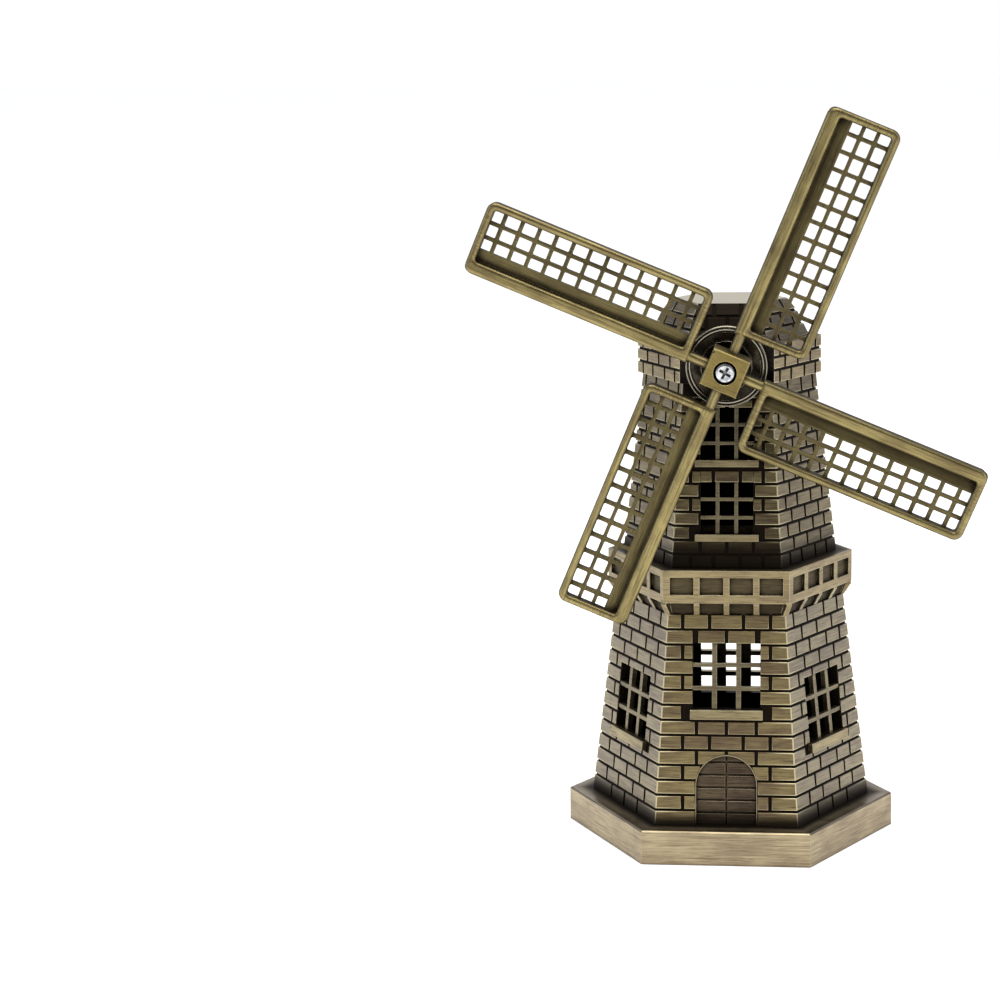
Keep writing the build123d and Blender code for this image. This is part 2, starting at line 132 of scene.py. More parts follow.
# tones: -1 keeps the black wash, 0 is plain plating, 1 is rubbed bright
WALL_TONE = -1.0
# the inside of the walls is kept darker than the wash alone: painted shade inside the tower
INSIDE_SHADE_TONE = -1.2

# one ring per line of a brick's rounded side: depth, inset, inset at the mitre, tone
PROFILE = [
    (0.44, 0.0, 0.0, -1.0),
    (0.22, 0.0, 0.0, -0.7),
    (0.07, 0.03, 0.0, 0.45),
    (0.015, 0.09, 0.0, 0.95),
    (0.0, 0.18, 0.14, 0.4),
    (0.0, 0.42, 0.32, -0.05),
]


def radius(s):
    """Corner radius of a tapered storey or course at a height."""
    return lambda z: s["r0"] + (s["r1"] - s["r0"]) * (z - s["z0"]) / (s["z1"] - s["z0"])


# ================================ shader nodes ===================================================
def feed(tree, sockets, values):
    """Gives each socket its value: a number, a colour or what another node puts out."""
    for socket, value in zip(sockets, values):
        if value is None:
            continue
        if isinstance(value, (int, float)):
            socket.default_value = value
        elif isinstance(value, tuple):
            socket.default_value = (*value, 1.0)
        else:
            tree.links.new(value, socket)


def math_node(tree, operation, a, b=None, clamp=False):
    n = tree.nodes.new("ShaderNodeMath")
    n.operation = operation
    n.use_clamp = clamp
    feed(tree, n.inputs, (a, b))
    return n.outputs[0]


def plus(tree, a, b, clamp=False):
    return math_node(tree, "ADD", a, b, clamp)


def minus(tree, a, b):
    return math_node(tree, "SUBTRACT", a, b)


def times(tree, a, b):
    return math_node(tree, "MULTIPLY", a, b)


def larger(tree, a, b):
    return math_node(tree, "MAXIMUM", a, b)


def absolute(tree, a):
    return math_node(tree, "ABSOLUTE", a)


def ruffle(tree, value, pattern, amount):
    """Value made uneven by a noise pattern."""
    return plus(tree, value, times(tree, minus(tree, pattern, 0.5), amount))


def remap(tree, value, lo, hi, to_lo=0.0, to_hi=1.0):
    n = tree.nodes.new("ShaderNodeMapRange")
    n.interpolation_type = "SMOOTHSTEP"
    feed(tree, n.inputs, (value, lo, hi, to_lo, to_hi))
    return n.outputs[0]


def blend_colour(tree, factor, a, b):
    n = tree.nodes.new("ShaderNodeMix")
    n.data_type = "RGBA"
    feed(tree, (n.inputs[0], n.inputs[6], n.inputs[7]), (factor, a, b))
    return n.outputs[2]


def noise(tree, scale, rotate=0.0, detail=4.0, rough=0.6, distort=0.0):
    """Noise in the piece's own space, stretched by the three scales (features per metre)."""
    coords = tree.nodes.new("ShaderNodeTexCoord")
    turn = tree.nodes.new("ShaderNodeMapping")
    turn.inputs["Rotation"].default_value = (0, rotate, 0)
    tree.links.new(coords.outputs["Object"], turn.inputs["Vector"])
    stretch = tree.nodes.new("ShaderNodeMapping")
    stretch.inputs["Scale"].default_value = scale
    tree.links.new(turn.outputs[0], stretch.inputs["Vector"])
    n = tree.nodes.new("ShaderNodeTexNoise")
    n.inputs["Scale"].default_value = 1.0
    n.inputs["Detail"].default_value = detail
    n.inputs["Roughness"].default_value = rough
    n.inputs["Distortion"].default_value = distort
    tree.links.new(stretch.outputs[0], n.inputs["Vector"])
    return n.outputs["Fac"]


def attribute(tree, name):
    n = tree.nodes.new("ShaderNodeAttribute")
    n.attribute_name = name
    return n.outputs["Fac"]


def openness(tree, reach, samples):
    """Ambient occlusion: 1 in the open, less in corners and recesses."""
    n = tree.nodes.new("ShaderNodeAmbientOcclusion")
    n.samples = samples
    n.inputs["Distance"].default_value = reach * MM
    return n.outputs["AO"]


def split(tree, vector):
    n = tree.nodes.new("ShaderNodeSeparateXYZ")
    tree.links.new(vector, n.inputs[0])
    return n.outputs["X"], n.outputs["Y"], n.outputs["Z"]


def place_xyz(tree):
    """Place in the piece's own space."""
    return split(tree, tree.nodes.new("ShaderNodeTexCoord").outputs["Object"])


def facing_xyz(tree):
    """Direction in which the surface looks."""
    return split(tree, tree.nodes.new("ShaderNodeNewGeometry").outputs["True Normal"])


def hex_distance(tree):
    """Distance from the tower's axis measured square to the nearest of its six sides."""
    x, y, _ = place_xyz(tree)
    across = times(tree, x, C30)
    half = times(tree, y, 0.5)
    a = absolute(tree, plus(tree, across, half))
    b = absolute(tree, minus(tree, across, half))
    return larger(tree, larger(tree, a, b), absolute(tree, y))


def axis_distance(tree):
    """Distance from the windshaft's axis."""
    x, _, z = place_xyz(tree)
    up = minus(tree, z, AXIS_Z * MM)
    squares = plus(tree, times(tree, x, x), times(tree, up, up))
    return math_node(tree, "SQRT", squares)


def bump(tree, height, strength, distance, normal=None):
    n = tree.nodes.new("ShaderNodeBump")
    n.inputs["Strength"].default_value = strength
    n.inputs["Distance"].default_value = distance * MM
    tree.links.new(height, n.inputs["Height"])
    if normal is not None:
        tree.links.new(normal, n.inputs["Normal"])
    return n.outputs[0]


# ================================ antiqued plating ===============================================
# open: how much of the black wash and of the painted shade and reflection is off. edge: how
# brightly the metal is rubbed, and how bright the painted highlights are. Both run from 0 to 1.
DARK = (0.010, 0.0065, 0.0038)
BRIGHT = (0.62, 0.54, 0.33)
SPECULAR = 0.12
UNEVEN = 2 * MM  # over how wide a strip the border of the painted shade at a wall's foot and of the painted reflection on a ledge wanders
# noise, in features per metre
BLOTCHES = (90, 90, 140)
GRAIN = (2200, 2200, 2200)
SCRATCH_SCALE = 1.7  # how much finer the scratches are than the brushing
# what a measure has to be for the effect to start, and to be complete
TONE_OPEN = (-0.95, -0.12)
TONE_EDGE = (0.25, 1.05)
OCCLUSION_OPEN = 0.88  # only where it is complete; a material's depth is where it starts
BEVEL_EDGE = (0.995, 0.86)  # how far the bevelled normal agrees with the true one
ALT_HUE = (0.38, 0.62)
SCRATCHED = (0.46, 0.72)
BRACKET_PROUD = (0.2 * MM, 0.5 * MM)
ROTOR_FORWARD = (29.9 * MM, 31.1 * MM)  # in front of the tower's axis
ROTOR_FACING = (0.3, 0.97)
LEVEL_LEDGE = (0.6, 0.95)  # how far the surface looks upwards
LEVEL_TOP_HIGHLIGHT = (0.75, 0.95)
LEVEL_TOP = (0.93, 0.99)
FRONT_BORDER = (-0.15 * MM, 0.15 * MM)
RING_FACING = (-0.9, -0.6)  # here it fades out again as the surface looks less to the front
RING_CORE = 0.4  # share of a ring's width that is fully bright
# what is left of the plating's colour at the darkest: on the webs under the balcony, on the rotor's back, in
# the painted shade on the rotor's sides, and on the black front
LEAST_OPEN_WEB = 0.13
LEAST_OPEN_BACK = 0.42
LEAST_OPEN_SIDE = 0.22
LEAST_OPEN_FRONT = 0.03


def new_material(name):
    m = bpy.data.materials.new(name)
    m.use_nodes = True
    return m, m.node_tree, m.node_tree.nodes["Principled BSDF"]


def tones_of_mesh(t, fine):
    """Open and edge from the tone that a brick mesh carries."""
    tone = ruffle(t, attribute(t, "tone"), fine, 0.5)
    return remap(t, tone, *TONE_OPEN), remap(t, tone, *TONE_EDGE)


def tones_of_shape(t, fine, reach, depth, edge_size):
    """Open from the recesses of the shape, edge from where its normal turns when it is bevelled.
    The third value is that bevelled normal."""
    open_ = remap(t, ruffle(t, openness(t, reach, 6), fine, 0.25), depth, OCCLUSION_OPEN)
    soft = t.nodes.new("ShaderNodeBevel")
    soft.samples = 4
    soft.inputs["Radius"].default_value = edge_size * MM
    true_normal = t.nodes.new("ShaderNodeNewGeometry")
    dot = t.nodes.new("ShaderNodeVectorMath")
    dot.operation = "DOT_PRODUCT"
    t.links.new(soft.outputs[0], dot.inputs[0])
    t.links.new(true_normal.outputs["Normal"], dot.inputs[1])
    edge = times(t, remap(t, dot.outputs["Value"], *BEVEL_EDGE), open_)
    return open_, edge, soft.outputs[0]


def brushed(t, mid, alt, fine, blotch, shift, streaks, turn):
    """The plating's own colour, with scratches where the wash has stayed in the brushing."""
    hue = plus(t, times(t, plus(t, blotch, fine), 0.5), shift)
    body = blend_colour(t, remap(t, hue, *ALT_HUE), mid, alt)
    finer = tuple(SCRATCH_SCALE * c for c in streaks)
    scratch = noise(t, finer, turn, detail=6.0, rough=0.7, distort=0.4)
    return blend_colour(t, remap(t, scratch, *SCRATCHED, 0.0, 0.8), body, tuple(0.3 * c for c in alt))


def wash_and_shade_up_wall(t, blotch, low_z, high_z, least):
    """Painted shade, with some of the black wash, darkens a wall towards the ledge below it."""
    rise = ruffle(t, place_xyz(t)[2], blotch, UNEVEN)
    return remap(t, rise, low_z * MM, high_z * MM, least, 1.0)


def open_on_brackets(t, foot_z, foot_span, slope, edge_z):
    """Under the balcony's edge the sloping webs between the brackets are darkened."""
    z = place_xyz(t)[2]
    web = plus(t, times(t, minus(t, z, foot_z * MM), slope), foot_span * MM)
    proud = remap(t, minus(t, hex_distance(t), web), *BRACKET_PROUD, LEAST_OPEN_WEB, 1.0)
    return larger(t, proud, on_edge(t, edge_z))


def open_on_panels(t, edge_z, sunk_span, proud_span, least):
    """The sunk panels of the balcony's edge keep some of the wash."""
    sunk = remap(t, hex_distance(t), sunk_span * MM, proud_span * MM, least, 1.0)
    return larger(t, sunk, minus(t, 1.0, on_edge(t, edge_z)))


def on_edge(t, edge_z):
    """1 from the foot of the balcony's edge upwards."""
    return remap(t, place_xyz(t)[2], edge_z * MM, (edge_z + 0.2) * MM)


def rotor_depth_and_side_shade(t, soft_normal):
    """The rotor is darker on what stands back, and painted shade darkens what looks sideways; it is lightest
    where it stands forward and looks to the front or the rear.
    """
    forward = remap(t, times(t, place_xyz(t)[1], -1.0), *ROTOR_FORWARD, LEAST_OPEN_BACK, 1.0)
    along = absolute(t, split(t, soft_normal)[1])
    return times(t, forward, remap(t, along, *ROTOR_FACING, LEAST_OPEN_SIDE, 1.0))


def painted_reflection_on_ledge(t, blotch, near, far, most):
    """Painted reflection of the dark wall on a level ledge: dark at the wall, fading out towards the rim."""
    worn = remap(t, ruffle(t, hex_distance(t), blotch, UNEVEN), near * MM, far * MM, 0.0, most)
    level = remap(t, facing_xyz(t)[2], *LEVEL_LEDGE)
    return larger(t, worn, minus(t, 1.0, level))


def open_off_front(t):
    """0 in the front sixth of a six-sided piece, but 1 on level tops there and everywhere else."""
    x, y, _ = place_xyz(t)
    off = plus(t, absolute(t, x), times(t, y, TAN30))
    beside = remap(t, off, *FRONT_BORDER)
    return larger(t, beside, remap(t, facing_xyz(t)[2], *LEVEL_TOP))


def highlights_on_rings(t, edge, rings):
    """Painted highlights on the rings about the windshaft axis, where the surface looks to the front."""
    from_axis = axis_distance(t)
    front = remap(t, facing_xyz(t)[1], *RING_FACING, 1.0, 0.0)
    for ring_radius, width, strength in rings:
        off = absolute(t, minus(t, from_axis, ring_radius * MM))
        line = remap(t, off, width * RING_CORE * MM, width * MM, strength, 0.0)
        edge = larger(t, edge, times(t, line, front))
    return edge


def antique(name, mid, alt, bright=BRIGHT, streaks=(120, 120, 2600), turn=0.0, shaded=True, rough=0.3,
            foot=None, reach=1.6, depth=0.35, edge_size=0.22, edge_gain=0.8, ledge=None,
            black_front=False, rings=(), brackets=None, panels=None, rotor=False, top_highlight=0.0):
    """Antiqued plating: dark in the recesses, rubbed bright along the edges, finely brushed.
    mid, alt, bright: colours of the plating, of its blotches and of its rubbed edges.
    streaks, turn: how fine the brushing is along each axis, and its turn about the windshaft.
    shaded pieces carry a tone attribute on their mesh; the others work it out from their shape,
    reach and depth being how far and how deep a recess has to be, edge_size how wide an edge is.
    foot, ledge, brackets, panels: the measures that the functions above take. foot: painted shade,
    with some of the black wash, towards the foot of a wall. ledge: a painted reflection on a level ledge.
    black_front: the front face of a six-sided piece is made near black, but not its level top.
    rings: radius, width and strength of the painted highlights on rings about the windshaft axis.
    rotor: darker where it stands back, with painted shade where it looks sideways.
    top_highlight: how strong the painted highlight on level tops is."""
    m, t, bsdf = new_material(name)
    bsdf.inputs["Specular IOR Level"].default_value = SPECULAR
    fine = noise(t, streaks, turn, detail=5.0, rough=0.65)
    blotch = noise(t, BLOTCHES, turn, detail=3.0)
    grain = noise(t, GRAIN, detail=2.0)
    if shaded:
        open_, edge = tones_of_mesh(t, fine)
        shift = attribute(t, "vary")
        soft_normal = None
    else:
        open_, edge, soft_normal = tones_of_shape(t, fine, reach, depth, edge_size)
        shift = 0.0
    body = brushed(t, mid, alt, fine, blotch, shift, streaks, turn)
    # painted shade, with some of the black wash, towards the foot of a wall
    if foot:
        clear = wash_and_shade_up_wall(t, blotch, *foot)
        open_ = times(t, open_, clear)
        edge = times(t, edge, clear)
    if brackets:
        open_ = times(t, open_, open_on_brackets(t, **brackets))
    if panels:
        open_ = times(t, open_, open_on_panels(t, **panels))
    # painted shade on the rotor's sides, and a darker back
    if rotor:
        open_ = times(t, open_, rotor_depth_and_side_shade(t, soft_normal))
    # painted reflection of the dark wall on a level ledge
    if ledge:
        clear = painted_reflection_on_ledge(t, blotch, *ledge)
        open_ = times(t, open_, clear)
        edge = times(t, edge, clear)
    # painted highlight on level tops
    if top_highlight:
        edge = larger(t, edge, remap(t, facing_xyz(t)[2], *LEVEL_TOP_HIGHLIGHT, 0.0, top_highlight))
    if black_front:
        clear = open_off_front(t)
        open_ = times(t, open_, remap(t, clear, 0.0, 1.0, LEAST_OPEN_FRONT, 1.0))
        edge = times(t, edge, clear)
    # painted highlights on the turned rings of the boss
    if rings:
        edge = highlights_on_rings(t, edge, rings)
    colour = blend_colour(t, open_, DARK, body)
    colour = blend_colour(t, times(t, edge, edge_gain), colour, bright)
    t.links.new(colour, bsdf.inputs["Base Color"])
    t.links.new(remap(t, open_, 0.0, 1.0, 0.75, 1.0), bsdf.inputs["Metallic"])
    polish = plus(t, times(t, fine, 0.22), rough - 0.1)
    polish = plus(t, polish, remap(t, open_, 0.0, 0.8, 0.3, 0.0), clamp=True)
    t.links.new(polish, bsdf.inputs["Roughness"])
    relief = plus(t, fine, times(t, grain, 0.5))
    t.links.new(bump(t, relief, 0.35, 0.03, soft_normal), bsdf.inputs["Normal"])
    return m


def bright_nickel():
    m, t, bsdf = new_material("bright_nickel")
    bsdf.inputs["Metallic"].default_value = 1.0
    scuff = noise(t, (900, 900, 900), detail=3.0)
    plate = blend_colour(t, remap(t, scuff, 0.35, 0.65), (0.3, 0.31, 0.33), (0.72, 0.72, 0.73))
    # painted shade: near black where the ambient occlusion finds a recess, as in the screw's cross
    open_ = remap(t, openness(t, 1.2, 8), 0.5, 0.95)
    t.links.new(blend_colour(t, open_, (0.03, 0.03, 0.032), plate), bsdf.inputs["Base Color"])
    t.links.new(remap(t, scuff, 0.3, 0.7, 0.08, 0.2), bsdf.inputs["Roughness"])
    return m


def foam():
    m, t, bsdf = new_material("foam_pad")
    cells = noise(t, (1400, 1400, 1400), detail=4.0)
    colour = blend_colour(t, cells, (0.012, 0.012, 0.013), (0.035, 0.035, 0.037))
    t.links.new(colour, bsdf.inputs["Base Color"])
    bsdf.inputs["Roughness"].default_value = 0.9
    t.links.new(bump(t, cells, 0.6, 0.1), bsdf.inputs["Normal"])
    return m


SAIL_BRUSHING = -math.radians(SAIL_TURN)
BALCONY_EDGE_Z = 61.75
# Front and side walls get copies of one plating in different colours, which is painted light: the side copies
# are greyer and bluer, a painted reflection of the surroundings, and the upper front is darker, painted shade
# from the sails.
M_LOWER = antique("lower_bricks_front", (0.24, 0.19, 0.087), (0.14, 0.10, 0.06), foot=(8.6, 12.4, 0.05))
M_LOWER_SIDE = antique("lower_bricks_side", (0.245, 0.207, 0.135), (0.165, 0.134, 0.1),
                       foot=(8.6, 14.2, 0.04))
M_UPPER = antique("upper_bricks_front", (0.185, 0.15, 0.072), (0.095, 0.07, 0.043),
                  foot=(73.4, 80.5, 0.02))
M_UPPER_SIDE = antique("upper_bricks_side", (0.22, 0.18, 0.105), (0.14, 0.11, 0.07),
                       foot=(70.4, 78.0, 0.04))
M_CAP = antique("cap_plating", (0.27, 0.215, 0.115), (0.17, 0.13, 0.08), rough=0.32, black_front=True)
M_BASE = antique("base_plating", (0.41, 0.335, 0.205), (0.26, 0.2, 0.125), bright=(0.7, 0.6, 0.4),
                 shaded=False, reach=1.2, depth=0.2, edge_size=0.2, edge_gain=0.5,
                 ledge=(30.0, 34.3, 0.8), streaks=(70, 70, 2200))
M_BALCONY = antique("balcony_plating", (0.3, 0.24, 0.125), (0.2, 0.152, 0.085), shaded=False,
                    depth=0.4, edge_size=0.3, ledge=(23.0, 25.6, 1.0),
                    brackets=dict(foot_z=58.8, foot_span=23.62, slope=0.345, edge_z=BALCONY_EDGE_Z),
                    panels=dict(edge_z=BALCONY_EDGE_Z, sunk_span=25.1, proud_span=25.6, least=0.32))
M_SILL = antique("sill_plating", (0.34, 0.28, 0.15), (0.22, 0.175, 0.1), shaded=False, rough=0.34,
                 reach=1.0, depth=0.2)
# the grille bars' level tops carry a painted highlight
M_TRIM = antique("grille_plating", (0.21, 0.175, 0.1), (0.14, 0.11, 0.07), bright=(0.5, 0.44, 0.3),
                 shaded=False, rough=0.34, reach=0.9, depth=0.2, top_highlight=0.9)
# the door also darkens towards its foot: painted shade, with some of the black wash
M_DOOR = antique("door_plating", (0.115, 0.086, 0.054), (0.055, 0.039, 0.028),
                 bright=(0.34, 0.28, 0.18), shaded=False, rough=0.34, reach=1.4, depth=0.45,
                 foot=(8.3, 15.0, 0.12), edge_gain=1.0)
M_BLACK = antique("blackened_plate", (0.018, 0.015, 0.012), (0.01, 0.008, 0.007),
                  bright=(0.12, 0.1, 0.07), shaded=False)
M_DISC = antique("boss_plating", (0.075, 0.063, 0.046), (0.035, 0.028, 0.021),
                 bright=(0.66, 0.6, 0.45), shaded=False, rough=0.22, edge_size=0.1, edge_gain=0.85,
                 reach=0.6, depth=0.1, streaks=(300, 300, 300),
                 rings=((9.45, 0.16, 1.0), (8.62, 0.12, 0.7), (6.0, 0.14, 0.8), (3.8, 0.14, 0.8)))
M_HUB = antique("hub_plating", (0.27, 0.205, 0.068), (0.2, 0.15, 0.055), bright=(0.66, 0.55, 0.26),
                shaded=False, rough=0.36, turn=SAIL_BRUSHING, reach=1.0, depth=0.2)
M_SAIL = [
    antique(f"sail_plating_{way}", (0.34, 0.275, 0.115), (0.2, 0.155, 0.07), bright=(0.62, 0.54, 0.28),
            shaded=False, rough=0.28, streaks=streaks, turn=SAIL_BRUSHING, reach=2.0, depth=0.35,
            edge_size=0.7, edge_gain=0.12, rotor=True)
    for way, streaks in (("upright", (2400, 2400, 90)), ("level", (90, 2400, 2400)))
]
M_NICKEL = bright_nickel()
M_FOAM = foam()


# ================================ mesh building ==================================================
class Build:
    """Collects the surface of one piece, in millimetres, with a tone for each point."""

    def __init__(self):
        self.points = []
        self.faces = []
        self.tones = []
        self.shifts = []

    def add(self, points, tone, shift=0.0):
        start = len(self.points)
        self.points += points
        self.tones += tone if isinstance(tone, list) else [tone] * len(points)
        self.shifts += [shift] * len(points)
        return list(range(start, len(self.points)))

    def bridge(self, a, b):
        n = len(a)
        for i in range(n):
            j = (i + 1) % n
            self.faces.append((a[i], a[j], b[j], b[i]))

    def stack(self, rings, tones, shift=0.0, floor=False):
        """Joins rings of points, deepest first, and closes the last. floor: closes the first too."""
        previous = None
        for ring, tone in zip(rings, tones):
            ids = self.add(ring, tone, shift)
            if previous is not None:
                self.bridge(previous, ids)
            elif floor:
                self.faces.append(tuple(reversed(ids)))
            previous = ids
        self.faces.append(tuple(previous))

    def make(self, name, material, body, *nodes, slot="castings"):
        mesh = bpy.data.meshes.new(name)
        mesh.from_pydata([[c * MM for c in p] for p in self.points], [], self.faces)
        for label, values in (("tone", self.tones), ("vary", self.shifts)):
            layer = mesh.attributes.new(label, "FLOAT", "POINT")
            layer.data.foreach_set("value", values)
        mesh.materials.append(material)
        mesh.validate()
        bm = bmesh.new()
        bm.from_mesh(mesh)
        bmesh.ops.recalc_face_normals(bm, faces=bm.faces)
        bm.to_mesh(mesh)
        bm.free()
        mesh.polygons.foreach_set("use_smooth", [False] * len(mesh.polygons))
        o = bpy.data.objects.new(name, mesh)
        bpy.context.scene.collection.objects.link(o)
        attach(o, body)
        if nodes:
            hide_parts(*nodes)


def spin(p, k):
    """Point p of the front face carried round to face k."""
    a = math.radians(60 * k)
    return (p[0] * math.cos(a) - p[1] * math.sin(a), p[0] * math.sin(a) + p[1] * math.cos(a), p[2])


def on_face(k, r, x, z, depth):
    """Point on face k of a hexagonal storey: x along it, z up, depth in from the brick face."""
    return spin((x, -(r(z) * C30 - depth), z), k)


def hexagon(r, z):
    angles = [math.radians(60 * i) for i in range(6)]
    return [(r * math.cos(a), r * math.sin(a), z) for a in angles]


def hex_ring(build, section):
    """A six-sided ring from its section: corner radius, height, tone."""
    ids = [build.add(hexagon(r, z), tone) for r, z, tone in section]
    for a, b in zip(ids, ids[1:] + ids[:1]):
        build.bridge(a, b)


def inset(poly, dists):
    """Moves each edge of an anticlockwise outline inwards by its own distance."""
    n = len(poly)
    out = []
    normals = []
    for i in range(n):
        (x0, z0), (x1, z1) = poly[i], poly[(i + 1) % n]
        length = math.hypot(x1 - x0, z1 - z0) or 1.0
        normals.append((-(z1 - z0) / length, (x1 - x0) / length))
    for i in range(n):
        a, b = normals[i - 1], normals[i]
        da, db = dists[i - 1], dists[i]
        x, z = poly[i]
        det = a[0] * b[1] - a[1] * b[0]
        if abs(det) < 0.2:
            # the two edges are nearly in line
            d = (da + db) / 2
            out.append((x + (a[0] + b[0]) / 2 * d, z + (a[1] + b[1]) / 2 * d))
        else:
            out.append((x + (da * b[1] - db * a[1]) / det, z + (a[0] * db - b[0] * da) / det))
    return out


# ================================ bricks =========================================================
def brick(build, k, r, poly, sides):
    """A brick from its outline on the face. sides: for each point -1 or +1 where it lies on the
    mitre at that corner of the tower, else 0."""
    shift = rng.uniform(-0.035, 0.035)
    sink = rng.uniform(0.0, 0.05)
    n = len(poly)
    low_z = min(z for _, z in poly)
    high_z = max(z for _, z in poly)
    rings = []
    tones = []
    for depth, plain_inset, mitre_inset, tone in PROFILE:
        at_mitre_edge = depth < 0.1 and mitre_inset < 0.2
        ring_tones = []
        for (_, z), side in zip(poly, sides):
            # painted highlight: the lower edge of a brick is brighter than the upper one
            lower_edge_highlight = 1.0 - 0.8 * (z - low_z) / (high_z - low_z) if tone > 0 else 1.0
            ring_tones.append(1.0 if side and at_mitre_edge else tone * lower_edge_highlight)
        tones.append(ring_tones)
        dists = []
        for j in range(n):
            on_mitre = sides[j] and sides[j] == sides[(j + 1) % n]
            dists.append(mitre_inset if on_mitre else plain_inset)
        d = depth + sink
        ring = []
        for (x, z), side in zip(inset(poly, dists), sides):
            if side:
                x = side * ((r(z) - d / C30) / 2 - mitre_inset)
            ring.append(on_face(k, r, x, z, d))
        rings.append(ring)
    build.stack(rings, tones, shift)


def outline(r, x0, x1, z0, z1, low=None):
    """Outline of a brick between two joints (None: the mitre), anticlockwise from its lower left.
    low: the points of its lower edge where that isn't level. Returns also what brick() calls sides."""
    bottom = low or [(-r(z0) / 2 if x0 is None else x0, z0), (r(z0) / 2 if x1 is None else x1, z0)]
    top = [(r(z1) / 2 if x1 is None else x1, z1), (-r(z1) / 2 if x0 is None else x0, z1)]
    sides = [0] * (len(bottom) + len(top))
    if x0 is None:
        sides[0] = -1
        sides[-1] = -1
    if x1 is None:
        sides[len(bottom) - 1] = 1
        sides[len(bottom)] = 1
    return bottom + top, sides


def spans(joints):
    """Left and right side of each brick in a row. None: it runs to the tower's corner."""
    cuts = sorted({-j for j in joints} | set(joints))
    lefts = [None] + [c + PERPEND / 2 for c in cuts]
    rights = [c - PERPEND / 2 for c in cuts] + [None]
    return list(zip(lefts, rights))


def window(centre_z, sill_foot, half_w, half_h, sill_half, pocket):
    """An opening, and the sill under it with a pocket at each end."""
    return dict(half=half_w, foot=centre_z - half_h, head=centre_z + half_h, sill_half=sill_half,
                sill_foot=sill_foot, pocket=pocket)


def opening(win):
    """Left, right, foot and head of a window, for slab()."""
    return (-win["half"], win["half"], win["foot"], win["head"])


def cut_at_window(pieces, win, z0, z1, edge):
    """Cuts the pieces of one brick, from z0 to z1, where a window or its sill is in their way. A
    piece is its left and right side, and its foot and head where those aren't the row's."""
    if z1 < win["sill_foot"] or z0 > win["head"]:
        return pieces
    at_sill = z0 < win["foot"] and z1 > win["sill_foot"]
    if at_sill:
        low_in_row = win["sill_foot"] - z0 < POCKET_SHARE * (z1 - z0)
        reach = win["sill_half"] + (win["pocket"] if low_in_row else 0)
    else:
        reach = win["half"] + WINDOW_GAP
    below_head = win["sill_foot"] - WINDOW_GAP
    above_foot = win["head"] + WINDOW_GAP
    left_over = []
    for x0, x1, foot, head in pieces:
        left = -edge if x0 is None else x0
        right = edge if x1 is None else x1
        if right <= -reach or left >= reach:
            left_over.append((x0, x1, foot, head))
            continue
        if left < -reach - SLIVER:
            left_over.append((x0, -reach, foot, head))
        if right > reach + SLIVER:
            left_over.append((reach, x1, foot, head))
        inner_left = max(left, -reach)
        inner_right = min(right, reach)
        if inner_right - inner_left <= LEAST_WIDTH:
            continue
        if at_sill and below_head - z0 > LEAST_BELOW_SILL:
            left_over.append((inner_left if inner_left > -edge else None, inner_right, None, below_head))
        elif not at_sill and z1 - win["head"] - WINDOW_GAP > LEAST_ABOVE_WINDOW:
            left_over.append((inner_left, inner_right, above_foot, None))
    return left_over


def cut_at_arch(x0, x1, z0, z1, edge, spring, rad):
    """Cuts a brick at the doorway. Returns its sides and the points of its lower edge (None where
    that is level), or nothing where no brick is left."""
    left = -edge if x0 is None else x0
    right = edge if x1 is None else x1
    if z1 <= spring:
        if left < -rad < right:
            x1 = -rad
        elif left < rad < right:
            x0 = rad
        elif -rad <= left and right <= rad:
            return None
        if x0 is not None and x1 is not None and x1 - x0 < SLIVER:
            return None
        return x0, x1, None
    low = []
    for i in range(ARCH_STEPS + 1):
        x = left + (right - left) * i / ARCH_STEPS
        z = max(z0, spring + math.sqrt(rad * rad - x * x)) if abs(x) < rad else z0
        if z < z1 - ARCH_LEAST_HEIGHT:
            low.append((x, z))
    if len(low) < 3 or low[-1][0] - low[0][0] < ARCH_LEAST_WIDTH:
        return None
    if low[0][0] > left + TOUCH:
        x0 = low[0][0]
    if low[-1][0] < right - TOUCH:
        x1 = low[-1][0]
    # of points in a level line only the ends are kept
    slim = [low[0]]
    for p, q in zip(low[1:-1], low[2:]):
        level = abs(p[1] - slim[-1][1]) < TOUCH and abs(q[1] - p[1]) < TOUCH
        if not level:
            slim.append(p)
    slim.append(low[-1])
    return x0, x1, slim


def storey(build, k, s, windows=(), arch=None):
    """Lays the bricks of one face. arch: spring height and radius of the door surround."""
    r = radius(s)
    for row in range(s["rows"]):
        z0 = s["z0"] + row * s["pitch"] + (JOINT / 2 if row else END_GAP)
        z1 = s["z0"] + (row + 1) * s["pitch"] - JOINT / 2
        if row == s["rows"] - 1:
            z1 = s["z1"] - END_GAP
        edge = r(z0) / 2
        joints = s["fives"] if (row % 2 == 0) == s["five_first"] else s["fours"]
        for left, right in spans(joints):
            pieces = [(left, right, None, None)]
            for win in windows:
                pieces = cut_at_window(pieces, win, z0, z1, edge)
            for x0, x1, foot, head in pieces:
                foot = z0 if foot is None else foot
                head = z1 if head is None else head
                low = None
                if arch and foot < sum(arch):
                    cut = cut_at_arch(x0, x1, foot, head, edge, *arch)
                    if cut is None:
                        continue
                    x0, x1, low = cut
                brick(build, k, r, *outline(r, x0, x1, foot, head, low))


